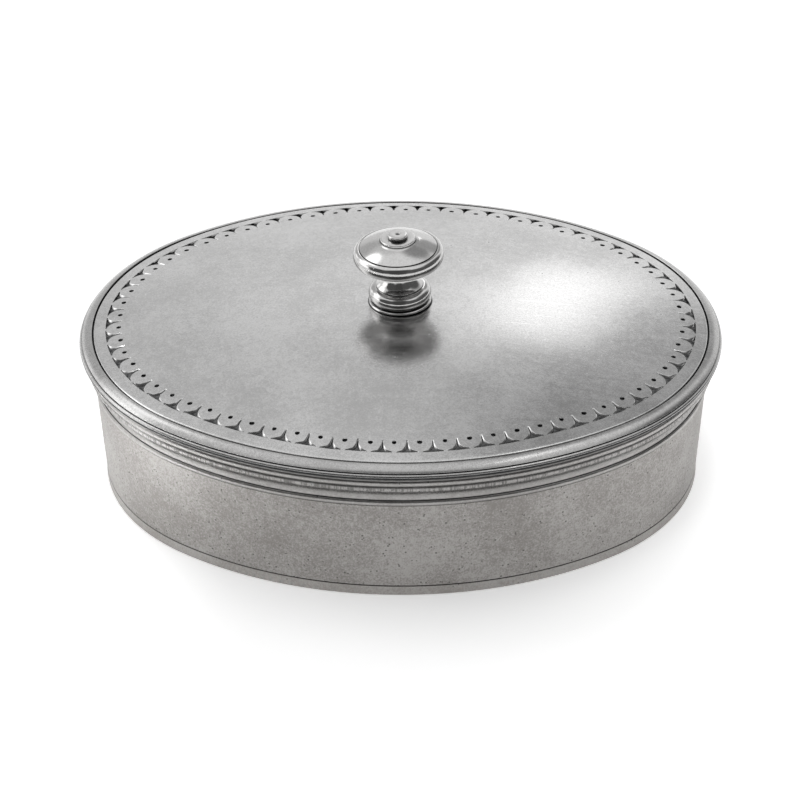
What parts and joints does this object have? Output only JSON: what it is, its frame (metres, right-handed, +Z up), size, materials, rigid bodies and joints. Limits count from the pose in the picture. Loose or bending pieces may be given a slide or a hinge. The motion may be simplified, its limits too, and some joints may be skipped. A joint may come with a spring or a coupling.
{
  "type": "lidded oval box",
  "caption": "Oval pewter box with a reeded rim, a domed lift-off lid with a punched border, and a turned mushroom knob.",
  "frame": {"origin": "centre of the underside", "axes": "+X along the long axis of the oval, +Y towards the back, +Z up through the knob"},
  "size_m": [0.22, 0.18, 0.0924],
  "materials": {
    "pewter_body": "satin cast pewter",
    "pewter_lid": "satin pewter with a fine grain",
    "pewter_knob": "burnished pewter",
    "pewter_base": "dull pewter"
  },
  "bodies": {
    "box": {"base_plate": "pewter_base", "body_wall": "pewter_body", "rim_moulding": "pewter_body"},
    "lid": {"lid_rim": "pewter_lid", "lid_flange": "pewter_base", "lid_plate": "pewter_lid", "knob": "pewter_knob", "knob_stud": "pewter_knob", "stud_washer": "pewter_base", "stud_nut": "pewter_base"}
  },
  "joints": [
    {"name": "lid_lift", "type": "slide", "parent": "box", "child": "lid", "axis": [0, 0, 1], "range_m": [0, 0.1]}
  ]
}
